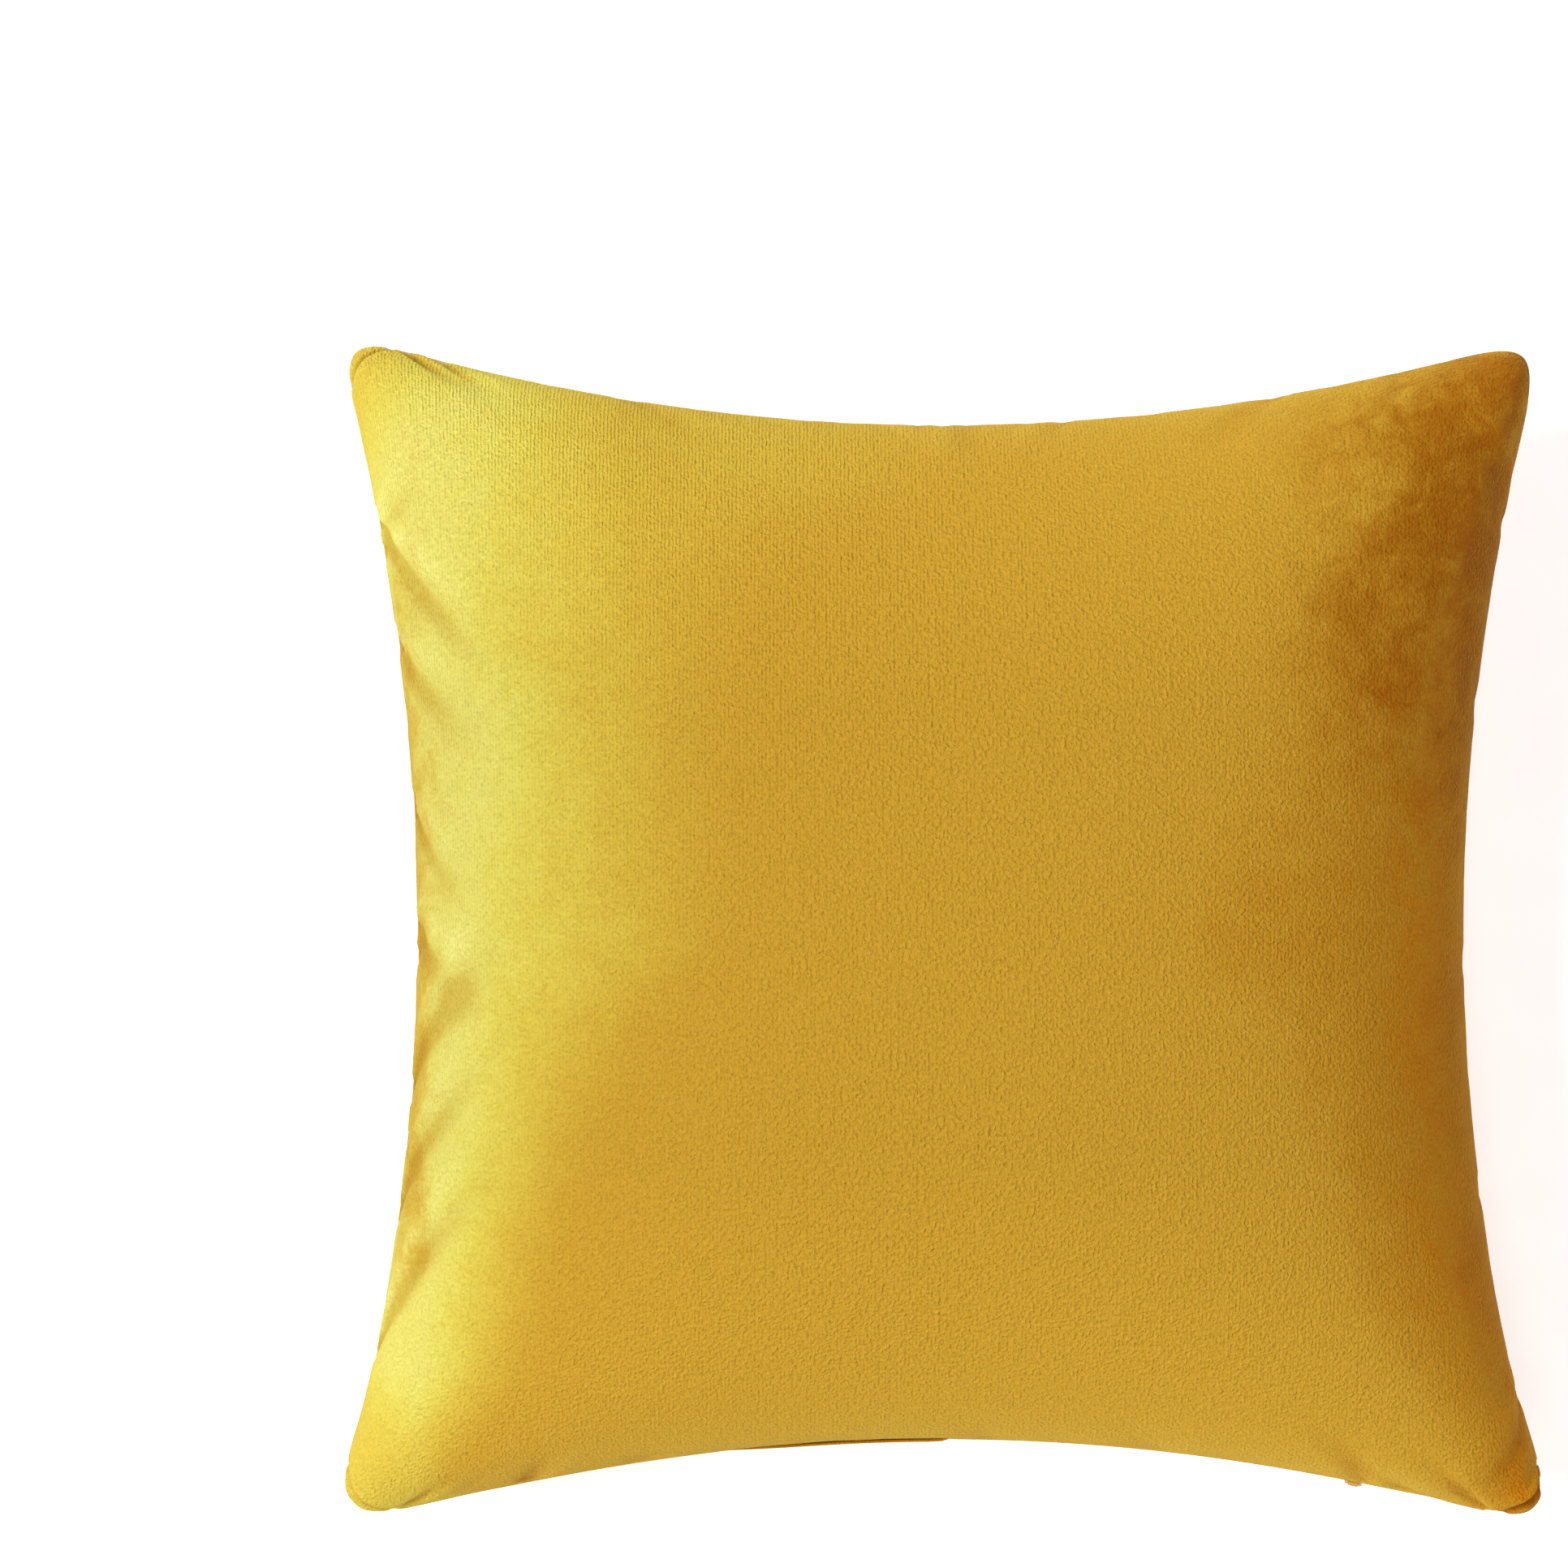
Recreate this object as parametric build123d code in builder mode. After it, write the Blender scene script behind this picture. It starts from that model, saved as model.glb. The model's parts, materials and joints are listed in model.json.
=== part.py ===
from build123d import *
from math import cos, degrees, radians, sin, sqrt
import os

os.makedirs("parts", exist_ok=True)

# A stuffed 457 mm square throw pillow lying on its back. +Z is out of its front face, +Y is
# towards its top edge and +X to its right. Origin: under the middle, on the resting plane.

# Seam outline of the cover. The four sides bow inwards between the corners.
corner_x = 228.2            # where two neighbouring sides would meet, before the corner is rounded
corner_y = 225.4
middle_x = 196.5            # from the centre to the middle of a left or right side
middle_y = 190.0            # from the centre to the middle of a top or bottom side
corner_radius = 14.0
crown_rounding = 88.0       # how much the corners round off from the seam to the crown
corner_fullness = 1.25      # how full the corners stand next to the seam

# Heights
seam_height = 76.0          # the seam stands here above the resting plane
front_depth = 84.0          # from the seam to the front crown
back_depth = seam_height
front_top_level = 0.97      # level of the small flat at the front crown (0 is the seam, 1 a point)
back_top_level = 0.85       # level of the flat patch that the back rests on
front_levels = (0.0, 0.06, 0.2, 0.38, 0.56, 0.72, 0.84, 0.92, front_top_level)
back_levels = (0.0, 0.06, 0.2, 0.38, 0.56, 0.72, back_top_level)

# Cloth
velvet = 1.0                # thickness of the cover's velvet
seam_allowance = 12.0       # width of the sewn edge turned inside the cover
casing = 0.6                # thickness of the insert's casing
casing_allowance = 7.0
thread = 0.5                # thickness of a sewing thread lying on the cloth
thread_inset = 3.0          # stitch line, measured inwards from the outside of the seam
thread_corner = 20.0        # radius that the stitch line takes round a corner
overlock_width = 3.0        # width of the overlocked raw edge
overlock = 0.35             # how far the overlock thread stands off the cloth

# Room left for the seam allowances and the zip between the cover and the insert
cloth_gap = 0.4
seam_room = 14.5
filling_room = 9.0          # more room at the insert's own seam

# Zip: a concealed reverse coil zip in the bottom seam, along the seam's own arc
zip_radius = (corner_x ** 2 + (corner_y - middle_y) ** 2) / (2 * (corner_y - middle_y))
zip_centre_y = -middle_y - zip_radius
zip_half_opening = 170.0    # measured along the arc, as the next four are
zip_half_tape = 175.0
zip_half_hem = 176.0
zip_half_chain = 162.8
slider_rest = 155.6         # slider's middle from the zip's middle, when closed
lip_half_gap = 0.9          # the slider's necks pass between the two lips
coil_half_gap = 0.8
hem_face = 2.0              # inner face of the turned hem, measured inwards from the lip
hem_knee = 5.0              # height at which the hem starts to lean inwards
hem_end = (8.5, 9.5)        # inner end of the hem: depth, height
tape_face = 3.2
tape = 0.5
tape_end_height = 9.0
coil_depth = 1.5
coil_width = 1.9
stop_length = 2.4

# Slider and pull tab
slider_length = 9.0
slider_half_width = 3.9
plate = 0.8
slider_clearance = 0.2
post_half_thickness = 0.6
neck_half_thickness = 0.5
neck_length = 1.2
neck_place = 2.6            # middle of each neck, along the slider
hinge_depth = -1.4          # hinge line of the tab, outside the lips
hinge_pin_radius = 0.5
knuckle_bore_radius = 0.6
knuckle_radius = 1.05
knuckle_length = 3.6
tab_thickness = 0.9
tab_width = 4.6
tab_length = 22.0


def arc_angle(distance):
    """Angle at the zip arc's centre for a distance along the arc, in degrees."""
    return degrees(distance / zip_radius)


def zip_plane(distance):
    """Plane across the zip: x runs inwards from the arc's centre, y runs up."""
    angle = radians(arc_angle(distance))
    return Plane(
        origin=(0, zip_centre_y, seam_height),
        x_dir=(sin(angle), cos(angle), 0),
        z_dir=(cos(angle), -sin(angle), 0),
    )


def slider_plane(depth):
    """Plane facing out of the seam at the slider: x runs along the zip, y runs up."""
    angle = radians(arc_angle(slider_rest))
    reach = zip_radius + depth
    return Plane(
        origin=(reach * sin(angle), zip_centre_y + reach * cos(angle), seam_height),
        x_dir=(cos(angle), -sin(angle), 0),
        z_dir=(-sin(angle), -cos(angle), 0),
    )


def outline(height, level, shrink, least_radius=corner_radius / 2):
    """Sketch of the pillow's rounded outline at one level, drawn in by shrink all round."""
    narrowing = sqrt(1 - level ** 2)
    closing = sqrt(1 - level ** corner_fullness)
    waist_x = middle_x * narrowing - shrink
    waist_y = middle_y * narrowing - shrink
    radius = min(corner_radius + crown_rounding * level ** 0.75, 0.92 * waist_y)
    bow = 1 - (1 - middle_x / corner_x) * level
    corner_shift = 0.293 * (radius - corner_radius) - shrink * (1 + 0.42 * (1 - level) ** 2)
    reach_x = corner_x * closing * bow + corner_shift
    reach_y = corner_y * closing * bow + corner_shift
    with BuildSketch(Plane.XY.offset(height)) as sketch:
        with BuildLine():
            ThreePointArc((-reach_x, -reach_y), (0, -waist_y), (reach_x, -reach_y))
            ThreePointArc((reach_x, -reach_y), (waist_x, 0), (reach_x, reach_y))
            ThreePointArc((reach_x, reach_y), (0, waist_y), (-reach_x, reach_y))
            ThreePointArc((-reach_x, reach_y), (-waist_x, 0), (-reach_x, -reach_y))
        make_face()
        fillet(sketch.vertices(), max(radius - shrink, least_radius))
    return sketch.sketch


def seam_fade(level, room):
    """Extra room at the seam, fading out towards the crown."""
    return room * (1 - level)


def puffed(levels, depth, shrink, room):
    """Half of a stuffed form, from the seam plane out to its flat crown."""
    with BuildPart() as form:
        for level in levels:
            height = seam_height + depth * level / levels[-1]
            add(outline(height, level, shrink + seam_fade(level, room)))
        loft(ruled=True)
    return form.part


def ring(height, thickness, outer, inner, least_radius=corner_radius / 2):
    """Flat ring in the seam's outline, between two distances inwards from the seam."""
    hole = extrude(outline(height, 0, inner, least_radius), amount=thickness)
    with BuildPart() as band:
        add(outline(height, 0, outer, least_radius))
        extrude(amount=thickness)
        add(hole, mode=Mode.SUBTRACT)
    return band.part


def thread_line(height, inset):
    """Thread lying on a seam allowance, rounding the corners inside the cover."""
    return ring(height, thread, inset, inset + thread, thread_corner)


def zip_gap():
    """Block round the zip's stretch of the seam, to leave sewn edges out of it."""
    with BuildPart() as gap:
        with BuildSketch(zip_plane(zip_half_hem)):
            with Locations((zip_radius + seam_allowance, 0)):
                Rectangle(2 * seam_allowance + 4, 2 * seam_allowance)
        revolve(axis=zip_axis, revolution_arc=arc_angle(2 * zip_half_hem))
    return gap.part


def along_zip(half_length, points):
    """Strip along the zip from its cross-section: (depth inwards from the lip, height)."""
    with BuildPart() as strip:
        with BuildSketch(zip_plane(half_length)):
            with BuildLine():
                Polyline([(zip_radius + depth, height) for depth, height in points], close=True)
            make_face()
        revolve(axis=zip_axis, revolution_arc=arc_angle(2 * half_length))
    return strip.part


def hem_line(height):
    """Depth of the hem's inner face at a height above the seam plane."""
    lean = (hem_end[0] - hem_face) / (hem_end[1] - hem_knee)
    return hem_face + lean * max(height - hem_knee, 0)


def upside_down(part):
    """The same piece below the seam plane."""
    return mirror(part, about=Plane.XY.offset(seam_height))


zip_axis = Axis((0, zip_centre_y, 0), (0, 0, 1))
sew_gap = zip_gap()

# Cover panels: a puffed velvet shell, its seam allowance turned inside, and a turned hem
# along the zip. A slot between the two hems lets the slider's necks through.
hem_profile = (
    (0.4, lip_half_gap),
    (hem_face, lip_half_gap),
    (hem_face, hem_knee),
    hem_end,
    (hem_end[0] - velvet, hem_end[1]),
    (1.0, hem_knee),
)
slot_profile = (
    (-8, 0),
    (hem_face + 1, 0),
    (hem_face + 1, lip_half_gap),
    (-8, lip_half_gap),
)
hem = along_zip(zip_half_hem, hem_profile)
slot = along_zip(zip_half_opening, slot_profile)
sewn_edge = ring(seam_height, velvet, velvet / 2, seam_allowance + velvet) - sew_gap

front_outside = puffed(front_levels, front_depth, 0, 0)
front_inside = puffed(front_levels, front_depth - velvet, velvet, 0)
with BuildPart() as cover_front_panel:
    add(front_outside)
    add(front_inside, mode=Mode.SUBTRACT)
    add(sewn_edge)
    add(hem)
    add(slot, mode=Mode.SUBTRACT)

back_outside = upside_down(puffed(back_levels, back_depth, 0, 0))
back_inside = upside_down(puffed(back_levels, back_depth - velvet, velvet, 0))
with BuildPart() as cover_back_panel:
    add(back_outside)
    add(back_inside, mode=Mode.SUBTRACT)
    add(upside_down(sewn_edge))
    add(upside_down(hem))
    add(upside_down(slot), mode=Mode.SUBTRACT)

# Cover sewing: the needle thread lies on one allowance, the bobbin thread under the other.
needle_line = thread_line(seam_height + velvet, thread_inset) - sew_gap
with BuildPart() as cover_seam_thread:
    add(needle_line)
    add(upside_down(needle_line))

# Overlock thread wrapped round the raw edges of both allowances
edge = seam_allowance + velvet
wrap_outside = ring(
    seam_height - velvet - overlock, 2 * (velvet + overlock), edge - overlock_width, edge + overlock
)
wrap_inside = ring(seam_height - velvet, 2 * velvet, edge - overlock_width - 1, edge)
with BuildPart() as cover_overlock_thread:
    add(wrap_outside)
    add(wrap_inside, mode=Mode.SUBTRACT)
    add(sew_gap, mode=Mode.SUBTRACT)

# Blank label caught in the left seam, folded double and lying on the front allowance
label_size = (5.0, 26.0)
label_ply = 0.25
with BuildPart() as cover_care_label:
    with BuildSketch(Plane.XY.offset(seam_height + velvet)):
        with Locations((-middle_x + thread_inset + 1 + label_size[0] / 2, 0)):
            RectangleRounded(*label_size, 0.8)
    extrude(amount=2 * label_ply)

# Zip tapes: flat under the slider, then sewn along the leaning part of the hem
tape_knee = hem_knee + (tape_face - hem_face) * (hem_end[1] - hem_knee) / (hem_end[0] - hem_face)
tape_end = (hem_line(tape_end_height), tape_end_height)
tape_strip = along_zip(
    zip_half_tape,
    (
        (tape_face, lip_half_gap),
        (tape_face, tape_knee),
        tape_end,
        (tape_end[0] + tape, tape_end[1]),
        (tape_face + tape, tape_knee),
        (tape_face + tape, lip_half_gap),
    ),
)
with BuildPart() as zip_tape_front:
    add(tape_strip)
with BuildPart() as zip_tape_back:
    add(upside_down(tape_strip))

# Coils: the outer shape of each nylon coil, on the inner side of its tape
coil_face = tape_face + tape
coil_strip = along_zip(
    zip_half_chain,
    (
        (coil_face, coil_half_gap + 0.2),
        (coil_face + 0.3, coil_half_gap),
        (coil_face + coil_depth - 0.5, coil_half_gap),
        (coil_face + coil_depth, coil_half_gap + 0.5),
        (coil_face + coil_depth, coil_half_gap + coil_width - 0.5),
        (coil_face + coil_depth - 0.5, coil_half_gap + coil_width),
        (coil_face, coil_half_gap + coil_width),
    ),
)
with BuildPart() as zip_coil_front:
    add(coil_strip)
with BuildPart() as zip_coil_back:
    add(upside_down(coil_strip))

# Stitch lines that hold each tape to its hem, lying on the tape's inner face
stitch_low = tape_end_height - 2.5
stitch_line = along_zip(
    zip_half_tape - 1,
    (
        (hem_line(stitch_low) + tape, stitch_low),
        (hem_line(stitch_low + thread) + tape, stitch_low + thread),
        (hem_line(stitch_low + thread) + tape + thread, stitch_low + thread),
        (hem_line(stitch_low) + tape + thread, stitch_low),
    ),
)
with BuildPart() as zip_stitching_front:
    add(stitch_line)
with BuildPart() as zip_stitching_back:
    add(upside_down(stitch_line))

# Stops at the chain's two ends
stop_depth = 1.7
stop_top = coil_half_gap + coil_width + 0.2
with BuildPart() as zip_top_stops:
    with BuildSketch(zip_plane(zip_half_chain + stop_length / 2)):
        for side in (-1, 1):
            with Locations((zip_radius + coil_face + stop_depth / 2, side * (coil_half_gap + stop_top) / 2)):
                RectangleRounded(stop_depth, stop_top - coil_half_gap, 0.4)
    extrude(amount=stop_length / 2 - 0.05, both=True)

with BuildPart() as zip_bottom_stop:
    with BuildSketch(zip_plane(-zip_half_chain - stop_length / 2)):
        with Locations((zip_radius + coil_face + stop_depth / 2, 0)):
            RectangleRounded(stop_depth, 2 * stop_top, 0.4)
    extrude(amount=stop_length / 2 - 0.05, both=True)

# Bar tacks across both tapes, beyond the stops
tack_length = 1.8
tack_place = zip_half_opening + 1.5
with BuildPart() as zip_bar_tacks:
    for place in (-tack_place, tack_place):
        with BuildSketch(zip_plane(place)):
            with Locations((zip_radius + coil_face + thread / 2, 0)):
                Rectangle(thread, 2 * tape_knee - 3)
        extrude(amount=tack_length / 2, both=True)

# Slider: two plates joined by a post at the leading end, side flanges round the coils, and
# two necks through the slot that carry the hinge pin of the tab
top_plate_depth = hem_face + slider_clearance
bottom_plate_depth = coil_face + coil_depth + slider_clearance
flange_width = 0.8
with BuildPart() as zip_slider:
    for depth in (top_plate_depth + plate, bottom_plate_depth + plate):
        with BuildSketch(slider_plane(depth)) as plate_sketch:
            with BuildLine():
                Polyline(
                    [
                        (-slider_length / 2, -slider_half_width + 0.6),
                        (0, -slider_half_width),
                        (slider_length / 2 - 1.2, -slider_half_width),
                        (slider_length / 2, -1.0),
                        (slider_length / 2, 1.0),
                        (slider_length / 2 - 1.2, slider_half_width),
                        (0, slider_half_width),
                        (-slider_length / 2, slider_half_width - 0.6),
                    ],
                    close=True,
                )
            make_face()
            fillet(plate_sketch.vertices(), 0.5)
        extrude(amount=plate)
    with BuildSketch(slider_plane(bottom_plate_depth)):
        for side in (-1, 1):
            with Locations((0, side * (slider_half_width - flange_width / 2 - 0.1))):
                Rectangle(slider_length - 3.0, flange_width - 0.2)
    extrude(amount=bottom_plate_depth - coil_face - slider_clearance)
    with BuildSketch(slider_plane(bottom_plate_depth)):
        with Locations((slider_length / 2 - 2.0, 0)):
            SlotOverall(3.0, 2 * post_half_thickness)
    extrude(amount=bottom_plate_depth - top_plate_depth - plate)
    with BuildSketch(slider_plane(top_plate_depth)):
        for side in (-1, 1):
            with Locations((side * neck_place, 0)):
                Rectangle(neck_length, 2 * neck_half_thickness)
    extrude(amount=top_plate_depth - hinge_depth + hinge_pin_radius)
    with BuildSketch(Plane(slider_plane(hinge_depth).origin, z_dir=slider_plane(0).x_dir)):
        Circle(hinge_pin_radius)
    extrude(amount=neck_place + neck_length / 2, both=True)

# Pull tab: a knuckle round the pin, and a flat tab with a long window that hangs down
hinge_line = Plane(
    slider_plane(hinge_depth).origin, x_dir=slider_plane(0).z_dir, z_dir=slider_plane(0).x_dir
)
with BuildPart() as zip_pull_tab:
    with BuildSketch(hinge_line):
        Circle(knuckle_radius)
    extrude(amount=knuckle_length / 2, both=True)
    with BuildSketch(slider_plane(hinge_depth + tab_thickness / 2)) as blade:
        with BuildLine():
            Polyline(
                [
                    (-knuckle_length / 2, 0),
                    (-knuckle_length / 2, -1.6),
                    (-tab_width / 2, -3.2),
                    (-tab_width / 2 - 0.4, -tab_length),
                    (tab_width / 2 + 0.4, -tab_length),
                    (tab_width / 2, -3.2),
                    (knuckle_length / 2, -1.6),
                    (knuckle_length / 2, 0),
                ],
                close=True,
            )
        make_face()
        fillet(blade.vertices().group_by(Axis.Y)[0], 1.6)
    extrude(amount=tab_thickness)
    with BuildSketch(slider_plane(hinge_depth + tab_thickness)):
        with Locations((0, -tab_length + 6.5)):
            SlotOverall(8.0, 2.2, rotation=90)
    extrude(amount=2 * tab_thickness, mode=Mode.SUBTRACT)
    with BuildSketch(hinge_line):
        Circle(knuckle_bore_radius)
    extrude(amount=knuckle_length, both=True, mode=Mode.SUBTRACT)

# Insert: a thin casing in two halves, sewn with its edges turned inside, and its filling
casing_shrink = velvet + cloth_gap
casing_edge = ring(
    seam_height, casing, casing_shrink + seam_room + casing / 2, casing_shrink + seam_room + casing_allowance
)
with BuildPart() as insert_casing_front:
    add(puffed(front_levels, front_depth - casing_shrink, casing_shrink, seam_room))
    add(
        puffed(front_levels, front_depth - casing_shrink - casing, casing_shrink + casing, seam_room),
        mode=Mode.SUBTRACT,
    )
    add(casing_edge)

with BuildPart() as insert_casing_back:
    add(upside_down(puffed(back_levels, back_depth - casing_shrink, casing_shrink, seam_room)))
    add(
        upside_down(
            puffed(back_levels, back_depth - casing_shrink - casing, casing_shrink + casing, seam_room)
        ),
        mode=Mode.SUBTRACT,
    )
    add(upside_down(casing_edge))

casing_line = thread_line(seam_height + casing, casing_shrink + seam_room + thread_inset)
with BuildPart() as insert_seam_thread:
    add(casing_line)
    add(upside_down(casing_line))

filling_shrink = casing_shrink + casing + cloth_gap
filling_seam = seam_room + filling_room
with BuildPart() as insert_filling:
    add(puffed(front_levels, front_depth - filling_shrink, filling_shrink, filling_seam))
    add(upside_down(puffed(back_levels, back_depth - filling_shrink, filling_shrink, filling_seam)))

pieces = {
    "cover_front_panel": cover_front_panel,
    "cover_back_panel": cover_back_panel,
    "cover_seam_thread": cover_seam_thread,
    "cover_overlock_thread": cover_overlock_thread,
    "cover_care_label": cover_care_label,
    "zip_tape_front": zip_tape_front,
    "zip_tape_back": zip_tape_back,
    "zip_coil_front": zip_coil_front,
    "zip_coil_back": zip_coil_back,
    "zip_stitching_front": zip_stitching_front,
    "zip_stitching_back": zip_stitching_back,
    "zip_top_stops": zip_top_stops,
    "zip_bottom_stop": zip_bottom_stop,
    "zip_bar_tacks": zip_bar_tacks,
    "zip_slider": zip_slider,
    "zip_pull_tab": zip_pull_tab,
    "insert_casing_front": insert_casing_front,
    "insert_casing_back": insert_casing_back,
    "insert_seam_thread": insert_seam_thread,
    "insert_filling": insert_filling,
}
for name, piece in pieces.items():
    piece.part.label = name
    export_step(piece.part, f"parts/{name}.step")
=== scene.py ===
import json
import math

import bpy
import numpy as np
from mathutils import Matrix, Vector


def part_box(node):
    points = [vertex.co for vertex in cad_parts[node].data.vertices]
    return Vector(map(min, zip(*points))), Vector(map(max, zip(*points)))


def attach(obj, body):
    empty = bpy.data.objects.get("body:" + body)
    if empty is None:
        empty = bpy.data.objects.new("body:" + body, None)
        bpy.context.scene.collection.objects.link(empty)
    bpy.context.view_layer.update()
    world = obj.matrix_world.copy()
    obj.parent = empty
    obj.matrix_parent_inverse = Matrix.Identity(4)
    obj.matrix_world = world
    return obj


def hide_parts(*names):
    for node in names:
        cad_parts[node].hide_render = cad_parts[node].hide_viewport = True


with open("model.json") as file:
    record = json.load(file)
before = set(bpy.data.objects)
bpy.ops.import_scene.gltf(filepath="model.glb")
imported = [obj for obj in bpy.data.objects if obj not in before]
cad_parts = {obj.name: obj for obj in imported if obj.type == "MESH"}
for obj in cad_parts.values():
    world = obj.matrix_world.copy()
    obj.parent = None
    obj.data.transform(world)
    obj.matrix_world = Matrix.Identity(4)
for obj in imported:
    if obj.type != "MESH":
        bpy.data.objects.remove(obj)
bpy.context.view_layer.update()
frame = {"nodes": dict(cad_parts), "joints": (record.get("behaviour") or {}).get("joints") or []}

MM = 0.001
joints = {joint["name"]: joint for joint in frame["joints"]}

# The pillow's driving sizes, in metres, from the frame. It lies on its back with its front up:
# x is across the photo, y up it, and z up from the plane it rests on.
panel_low, panel_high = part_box("cover_front_panel")
back_low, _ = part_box("cover_back_panel")
SEAM = panel_low[2]
FRONT_DEPTH = panel_high[2] - SEAM
BACK_DEPTH = SEAM - back_low[2]
HALF_WIDTH = panel_high[0]
HALF_HEIGHT = panel_high[1]

# Where two neighbouring sides would meet beyond the rounded corners, and how far the sides
# bow in from there
CORNER_X = HALF_WIDTH + 6.1 * MM
CORNER_Y = HALF_HEIGHT + 6.6 * MM
BOW_LEFT = 31.7 * MM
BOW_RIGHT = 33.4 * MM
BOW_TOP = 36.2 * MM
BOW_BOTTOM = 35.4 * MM
CORNER_STRETCH = 3.8 * MM      # how much further the corners reach than those arcs
STRETCH_START = 0.74           # of the way to the corner
LOWER_FLARE = 3.2 * MM         # how much wider the cushion is at its two lower corners
FLARE_START = 0.62

# The zip's arc
zip_centre = Vector(joints["zip_slide"]["pos_m"])
tab_hinge = Vector(joints["tab_swing"]["pos_m"])
HINGE_OUTSIDE_LIPS = 1.4 * MM
ZIP_RADIUS = (tab_hinge - zip_centre).length + HINGE_OUTSIDE_LIPS
ZIP_HALF_OPENING = 170 * MM
ZIP_HALF_HEM = 176 * MM

GRID = 208                     # cells along a side of a finished panel
SIM_GRID = 72                  # cells along a side while simulating
INSERT_GRID = 96               # cells along a side of the insert's panels
EDGE_CROWDING = 1.35           # how much closer the rows stand towards the seam
CROWN = 2.7                    # how flat the crown of a panel is: 2 is round
FULLNESS = 0.42                # how steeply a panel falls to its seam: lower is steeper
LOW_FULLNESS = 0.055           # how much deeper the cushion is low down, as a part of its depth
COVER_CLOTH = 0.95 * MM        # thickness
CASING_CLOTH = 0.5 * MM


# ---------------------------------------------------------------- shape of a stuffed panel

def grid_parameters(cells):
    """Both surface parameters of a square grid, from -1 to 1, rows crowded to the edges."""
    line = np.linspace(-1, 1, cells + 1)
    bent = np.sign(line) * (1 - (1 - np.abs(line)) ** EDGE_CROWDING)
    return np.meshgrid(bent, bent, indexing="ij")


def ramp_up(value):
    """Smooth step from 0 to 1."""
    t = np.clip(value, 0, 1)
    return t * t * (3 - 2 * t)


# For each corner, by the signs of its x and y: how far its tip is cut back, and how far from the
# tip that is felt
CORNERS = {
    (-1, 1): (12.5 * MM, 17 * MM),
    (1, 1): (15.5 * MM, 20 * MM),
    (-1, -1): (14 * MM, 18 * MM),
    (1, -1): (12.5 * MM, 17 * MM),
}


def round_corners(x, y):
    """Spreads the lower corners a little, then draws every corner in along its diagonal."""
    far_x = ramp_up((np.abs(x) / CORNER_X - STRETCH_START) / (1 - STRETCH_START))
    far_y = ramp_up((np.abs(y) / CORNER_Y - STRETCH_START) / (1 - STRETCH_START))
    x = x + np.sign(x) * CORNER_STRETCH * far_x * far_y
    y = y + np.sign(y) * CORNER_STRETCH * far_x * far_y
    low = ramp_up((-y / CORNER_Y - FLARE_START) / (1 - FLARE_START))
    out = ramp_up((np.abs(x) / CORNER_X - FLARE_START) / (1 - FLARE_START))
    x = x + np.sign(x) * LOWER_FLARE * low * out
    for (sign_x, sign_y), (cut, spread) in CORNERS.items():
        inwards = ((CORNER_X - sign_x * x) + (CORNER_Y - sign_y * y)) / math.sqrt(2)
        pull = cut * np.exp(-inwards / spread) / math.sqrt(2)
        x = x - sign_x * pull
        y = y - sign_y * pull
    return x, y


def stuffed(cells, side, depth):
    """Grid of points on one half of a stuffed square cushion."""
    u, v = grid_parameters(cells)
    theta, phi = u * math.pi / 2, v * math.pi / 2
    cos_u, cos_v = np.cos(theta), np.cos(phi)
    cos_u[[0, -1], :] = 0
    cos_v[:, [0, -1]] = 0
    bow_x = np.where(u < 0, BOW_LEFT, BOW_RIGHT)
    bow_y = np.where(v < 0, BOW_BOTTOM, BOW_TOP)
    x = CORNER_X * np.sin(theta) * (1 - bow_x / CORNER_X * cos_v ** 2)
    y = CORNER_Y * np.sin(phi) * (1 - bow_y / CORNER_Y * cos_u ** 2)
    x, y = round_corners(x, y)
    fuller_low = 1 - LOW_FULLNESS * np.sin(phi)
    fall_u = (1 - np.abs(np.sin(theta)) ** CROWN) ** FULLNESS
    fall_v = (1 - np.abs(np.sin(phi)) ** CROWN) ** FULLNESS
    fall_u[[0, -1], :] = 0
    fall_v[:, [0, -1]] = 0
    z = SEAM + side * depth * fall_u * fall_v * fuller_low
    return np.stack([x, y, z], axis=-1)


def grid_faces(cells, offset=0, flip=False):
    """Quads of a square grid, as rows of four indices."""
    index = np.arange((cells + 1) ** 2).reshape(cells + 1, cells + 1) + offset
    corners = [index[:-1, :-1], index[1:, :-1], index[1:, 1:], index[:-1, 1:]]
    quads = np.stack([corner.ravel() for corner in corners], axis=1)
    return quads[:, ::-1] if flip else quads


def grid_normals(points, side):
    """Outward unit normals of a grid of points."""
    along_u = np.gradient(points, axis=0)
    along_v = np.gradient(points, axis=1)
    normal = np.cross(along_u, along_v) * side
    length = np.linalg.norm(normal, axis=-1, keepdims=True)
    return normal / np.maximum(length, 1e-12)


def resample(values, cells):
    """Smoothly resamples a square grid of vectors to another number of cells."""
    rows = values.shape[0] - 1
    place = np.linspace(0, 1, cells + 1) * rows
    base = np.clip(place.astype(int), 0, rows - 1)
    part = place - base

    def along_first(grid):
        before = grid[np.clip(base - 1, 0, rows)]
        here = grid[base]
        after = grid[np.clip(base + 1, 0, rows)]
        beyond = grid[np.clip(base + 2, 0, rows)]
        t = part.reshape(-1, 1, 1)
        return 0.5 * (
            2 * here
            + (after - before) * t
            + (2 * before - 5 * here + 4 * after - beyond) * t ** 2
            + (3 * here - before - 3 * after + beyond) * t ** 3
        )

    first = along_first(values)
    return np.swapaxes(along_first(np.swapaxes(first, 0, 1)), 0, 1)


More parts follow.
